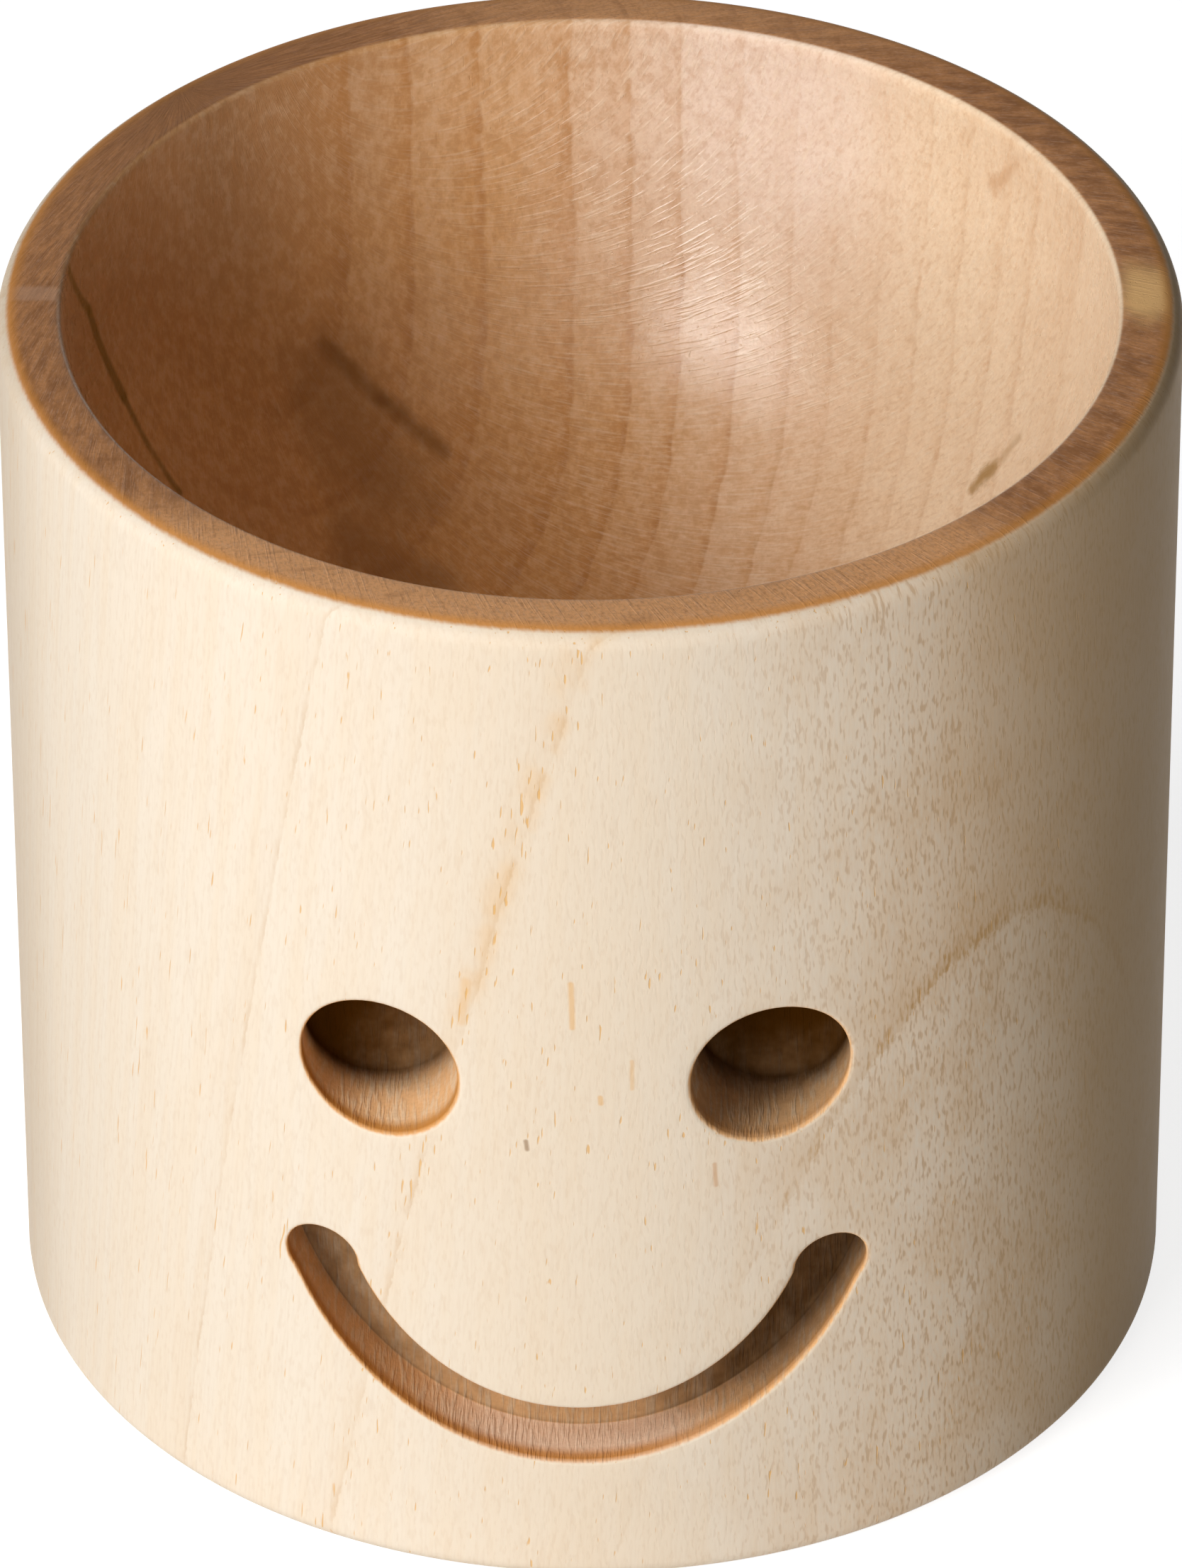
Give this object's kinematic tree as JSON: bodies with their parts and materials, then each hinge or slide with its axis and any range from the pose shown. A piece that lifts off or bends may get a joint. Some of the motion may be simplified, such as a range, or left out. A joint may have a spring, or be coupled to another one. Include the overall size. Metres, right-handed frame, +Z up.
{
  "type": "egg cup",
  "caption": "Straight-sided round wooden egg cup with an egg-shaped bowl in its top and a smiling face of drilled eyes and a curved groove cut into the front.",
  "frame": {"origin": "middle of the flat base that the cup stands on", "axes": "+Z up along the turning axis, the face looks along -Y, +X to the right of a viewer who looks at the face"},
  "size_m": [0.05, 0.05, 0.049],
  "materials": {
    "maple": "bare fine-sanded wood, matt, browner on its end grain"
  },
  "bodies": {
    "root": {"cup": "maple"}
  },
  "joints": []
}
